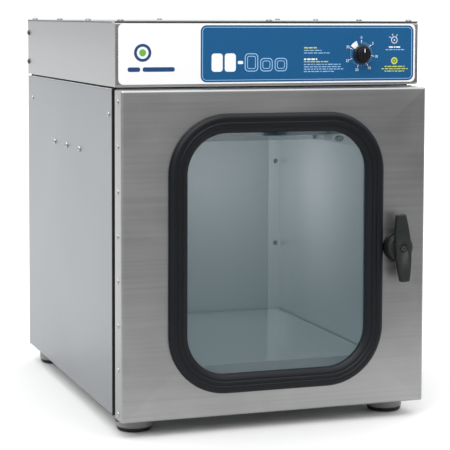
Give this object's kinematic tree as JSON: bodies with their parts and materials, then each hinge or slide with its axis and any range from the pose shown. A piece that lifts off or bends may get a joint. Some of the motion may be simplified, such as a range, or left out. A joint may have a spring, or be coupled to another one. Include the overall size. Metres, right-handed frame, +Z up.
{
  "type": "uv sterilizer cabinet",
  "caption": "Benchtop ultraviolet sterilizing cabinet: stainless chamber on feet, rubber-framed window door with piano hinge and wing latch, control head with timer knob.",
  "frame": {"origin": "on the bench plane, under the middle of the overall box", "axes": "+Z up, -Y is the front with the door, +X is the viewer's right when facing the door"},
  "size_m": [0.3798, 0.5059, 0.4759],
  "materials": {
    "stainless_side": "fine brushed stainless sheet, grain level",
    "stainless_door": "brushed stainless sheet, level grain",
    "stainless_inside": "bright rolled stainless, soft reflections",
    "polished_reflector": "polished reflector sheet",
    "foot_grey": "satin moulded",
    "foot_rubber": "matt",
    "screw_steel": "bright plated",
    "screw_dark": "blackened",
    "quartz_glass": "clear quartz",
    "cap_aluminium": "satin",
    "white_plastic": "moulded",
    "white_enamel": "gloss enamel",
    "foam_black": "closed-cell foam strip",
    "overlay_film": "printed film, blue field on white",
    "wire_grey": "wire sleeve",
    "black_plastic": "moulded, fine texture",
    "contact_brass": "bright",
    "hinge_steel": "satin",
    "rubber_black": "extruded, soft sheen",
    "window_glass": "clear, faint blue",
    "knob_black": "moulded, fluted"
  },
  "bodies": {
    "cabinet": {"left_side_panel": "stainless_side", "right_side_panel": "stainless_side", "back_panel": "stainless_side", "base_pan": "stainless_inside", "chamber_floor": "stainless_inside", "top_deck": "stainless_inside", "front_frame": "stainless_inside", "foot_cups": "foot_grey", "foot_pads": "foot_rubber", "foot_bolts": "screw_steel", "lamp_tray": "polished_reflector", "uv_tube_front": "quartz_glass", "uv_tube_rear": "quartz_glass", "lamp_caps": "cap_aluminium", "lamp_holders_left": "white_plastic", "lamp_holders_right": "white_plastic", "tray_screws": "screw_steel", "tray_cap_nuts": "screw_steel", "side_rivets": "screw_steel", "back_rivets": "screw_steel", "head_foam_strip": "foam_black", "head_base": "stainless_inside", "head_left_side": "stainless_side", "head_right_side": "stainless_side", "head_front": "stainless_door", "head_back": "stainless_side", "head_lid": "stainless_side", "lid_screws": "screw_steel", "head_side_screws": "screw_dark", "control_overlay": "overlay_film", "timer_body": "white_plastic", "ballast": "white_enamel", "terminal_block": "white_plastic", "wiring": "wire_grey", "inlet_socket": "black_plastic", "inlet_pins": "contact_brass", "panel_screws": "screw_steel", "keeper": "screw_steel", "interlock_sensor": "white_plastic", "hinge_body_leaf": "hinge_steel", "hinge_pin": "hinge_steel"},
    "door": {"door_skin": "stainless_door", "door_inner_panel": "stainless_inside", "door_seal": "rubber_black", "window_rubber": "rubber_black", "window_locking_strip": "rubber_black", "window_pane": "window_glass", "hinge_door_leaf": "hinge_steel", "hinge_rivets": "screw_steel", "interlock_magnet": "white_plastic", "latch_escutcheon": "black_plastic"},
    "latch": {"latch_wing": "black_plastic", "latch_shaft": "screw_steel", "latch_cam": "screw_steel", "latch_nut": "screw_steel", "latch_screw": "screw_steel"},
    "knob": {"timer_knob": "knob_black", "timer_shaft": "screw_steel"}
  },
  "joints": [
    {"name": "door_hinge", "type": "hinge", "parent": "cabinet", "child": "door", "pos_m": [-0.1839, -0.20115, 0.207], "axis": [0, 0, -1], "range_deg": [0, 110]},
    {"name": "latch_turn", "type": "hinge", "parent": "door", "child": "latch", "pos_m": [0.1515, -0.23245, 0.207], "axis": [0, 1, 0], "range_deg": [0, 90]},
    {"name": "timer_turn", "type": "hinge", "parent": "cabinet", "child": "knob", "pos_m": [0.114, -0.20795, 0.4347], "axis": [0, 1, 0], "range_deg": [-34, 296]}
  ]
}
